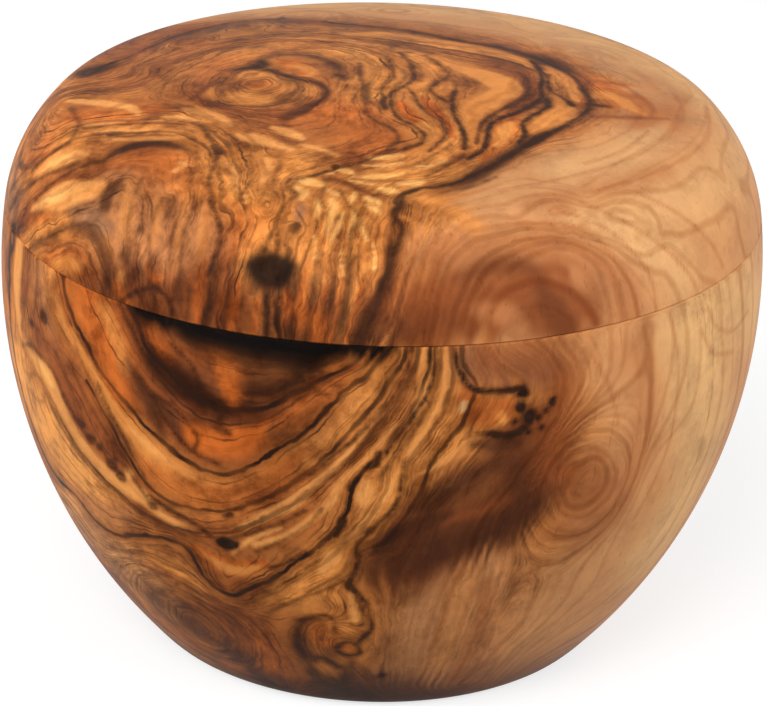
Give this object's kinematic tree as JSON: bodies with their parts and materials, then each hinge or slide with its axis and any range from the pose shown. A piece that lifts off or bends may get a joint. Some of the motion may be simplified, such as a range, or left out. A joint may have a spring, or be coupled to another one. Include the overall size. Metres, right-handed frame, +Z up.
{
  "type": "sugar canister",
  "caption": "Round-bellied turned wooden sugar bowl on a small foot, with a low domed lift-off lid that carries on its outline.",
  "frame": {"origin": "centre of the foot, on the surface that the bowl stands on", "axes": "+Z up along the turning axis; -Y faces the picture's viewer and +X is to their right"},
  "size_m": [0.1213, 0.1214, 0.0935],
  "materials": {
    "bowl_wood": "figured olive wood, oiled, low sheen",
    "lid_wood": "figured olive wood, oiled, low sheen"
  },
  "bodies": {
    "bowl": {"bowl": "bowl_wood"},
    "lid": {"lid": "lid_wood"}
  },
  "joints": [
    {"name": "lid_lift", "type": "slide", "parent": "bowl", "child": "lid", "axis": [0, 0, 1], "range_m": [0, 0.08]}
  ]
}
